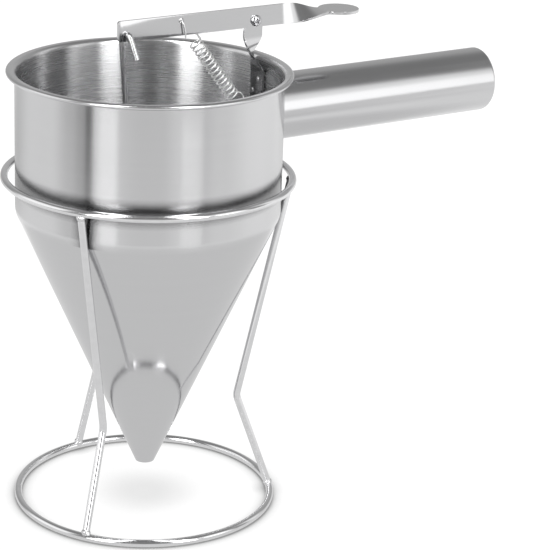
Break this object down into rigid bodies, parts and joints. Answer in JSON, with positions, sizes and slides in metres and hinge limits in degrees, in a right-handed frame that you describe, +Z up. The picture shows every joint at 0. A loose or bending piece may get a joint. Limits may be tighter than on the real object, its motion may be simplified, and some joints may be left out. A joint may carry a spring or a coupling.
{
  "type": "batter dispenser",
  "caption": "Stainless funnel dispenser with a tubular side handle, a thumb lever that lifts the outlet stopper against a spring, and a wire stand.",
  "frame": {"origin": "on the funnel's axis, on the surface that the stand's base ring rests on", "axes": "+Z up along the funnel's axis; +X along the handle, away from the funnel; +Y completes the right-handed frame and is the side of the lever where the bracket and nut are"},
  "size_m": [0.2967, 0.157, 0.2681],
  "materials": {
    "stand_wire": "bright round wire",
    "bowl_sheet": "spun sheet, polished outside the wall, satin on the cone",
    "handle_steel": "polished tube with fine marks along it",
    "lever_strip": "satin cut strip",
    "fastener_steel": "bright turned steel",
    "rod_steel": "drawn rod",
    "plug_steel": "turned, dull",
    "spring_wire": "bright spring wire",
    "weld_metal": "cleaned weld bead"
  },
  "bodies": {
    "stand": {"stand_top_ring": "stand_wire", "stand_base_ring": "stand_wire", "stand_leg_1": "stand_wire", "stand_leg_2": "stand_wire", "stand_leg_3": "stand_wire", "leg_top_welds": "weld_metal", "leg_base_welds": "weld_metal"},
    "funnel": {"funnel_bowl": "bowl_sheet", "handle_tube": "handle_steel", "handle_end_cap": "handle_steel", "handle_weld": "weld_metal", "lever_bracket": "lever_strip", "bracket_spot_welds": "weld_metal", "pivot_screw": "fastener_steel", "pivot_washer": "fastener_steel", "pivot_nut": "fastener_steel", "return_spring": "spring_wire"},
    "lever": {"thumb_lever": "lever_strip"},
    "stopper": {"stopper_rod": "rod_steel", "stopper_weld": "weld_metal", "stopper_plug": "plug_steel"}
  },
  "joints": [
    {"name": "funnel_lift", "type": "slide", "parent": "stand", "child": "funnel", "axis": [0, 0, 1], "range_m": [0, 0.18]},
    {"name": "lever_pivot", "type": "hinge", "parent": "funnel", "child": "lever", "pos_m": [0.0644, 0, 0.2606], "axis": [0, 1, 0], "range_deg": [0, 25], "stiffness_Nm_per_rad": 0.8, "springref_deg": -17.19, "deforming": ["return_spring"]},
    {"name": "stopper_hook", "type": "hinge", "parent": "lever", "child": "stopper", "pos_m": [-0.0147, 0, 0.261], "axis": [0, 1, 0], "range_deg": [-25, 0]}
  ],
  "couplings": [
    {"joint": "stopper_hook", "follows": "lever_pivot", "ratio": -0.924}
  ]
}
